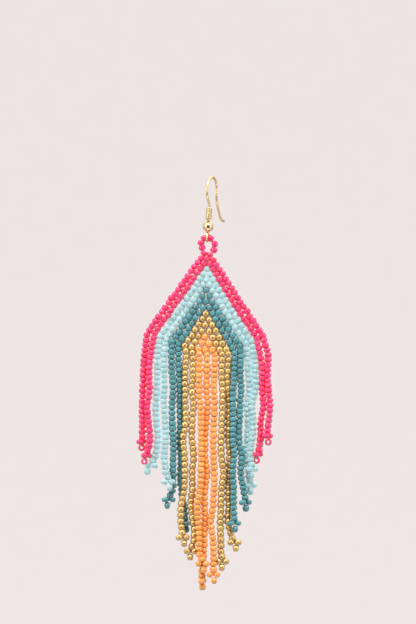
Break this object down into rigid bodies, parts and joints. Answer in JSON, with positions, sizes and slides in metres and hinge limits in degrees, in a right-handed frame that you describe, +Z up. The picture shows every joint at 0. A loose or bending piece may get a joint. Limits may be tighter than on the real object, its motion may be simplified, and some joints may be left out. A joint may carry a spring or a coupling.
{
  "type": "beaded fringe earring",
  "caption": "Drop earring on a French ear wire: woven seed bead chevron in bands of colour with a long tapering bead fringe.",
  "frame": {"origin": "middle of the ear wire at the top of its arch, where it goes through the ear lobe", "axes": "+Z up, +X to the right and +Y away from the viewer of the pictured face, along the beadwork's normal"},
  "size_m": [0.0403, 0.0144, 0.124],
  "materials": {
    "gold_wire": "bright gold plate on round wire",
    "gold_polished": "mirror polished gold plate",
    "pink_bead": "opaque glossy pink glass",
    "sky_bead": "pearly sky blue glass",
    "teal_bead": "glossy teal glass",
    "gold_bead": "metallic gold coated glass",
    "orange_bead": "opaque glossy light orange glass"
  },
  "bodies": {
    "hook": {"ear_wire": "gold_wire", "hook_coil": "gold_wire", "hook_ball": "gold_polished"},
    "drop": {"hanging_loop": "pink_bead", "panel_pink": "pink_bead", "panel_sky": "sky_bead", "panel_teal": "teal_bead", "panel_gold": "gold_bead", "panel_orange": "orange_bead", "strand_pink_1": "pink_bead", "strand_pink_2": "pink_bead", "strand_sky_1": "sky_bead", "strand_sky_2": "sky_bead", "strand_teal_1": "teal_bead", "strand_teal_2": "teal_bead", "strand_gold_1": "gold_bead", "strand_gold_2": "gold_bead", "strand_orange_1": "orange_bead", "strand_orange_2": "orange_bead", "strand_orange_3": "orange_bead", "strand_gold_3": "gold_bead", "strand_gold_4": "gold_bead", "strand_teal_3": "teal_bead", "strand_teal_4": "teal_bead", "strand_sky_3": "sky_bead", "strand_sky_4": "sky_bead", "strand_pink_3": "pink_bead", "strand_pink_4": "pink_bead"}
  },
  "joints": [
    {"name": "drop_swing", "type": "hinge", "parent": "hook", "child": "drop", "pos_m": [-0.00166, -0.00102, -0.01831], "axis": [1, 0, 0], "range_deg": [-60, 60]}
  ]
}
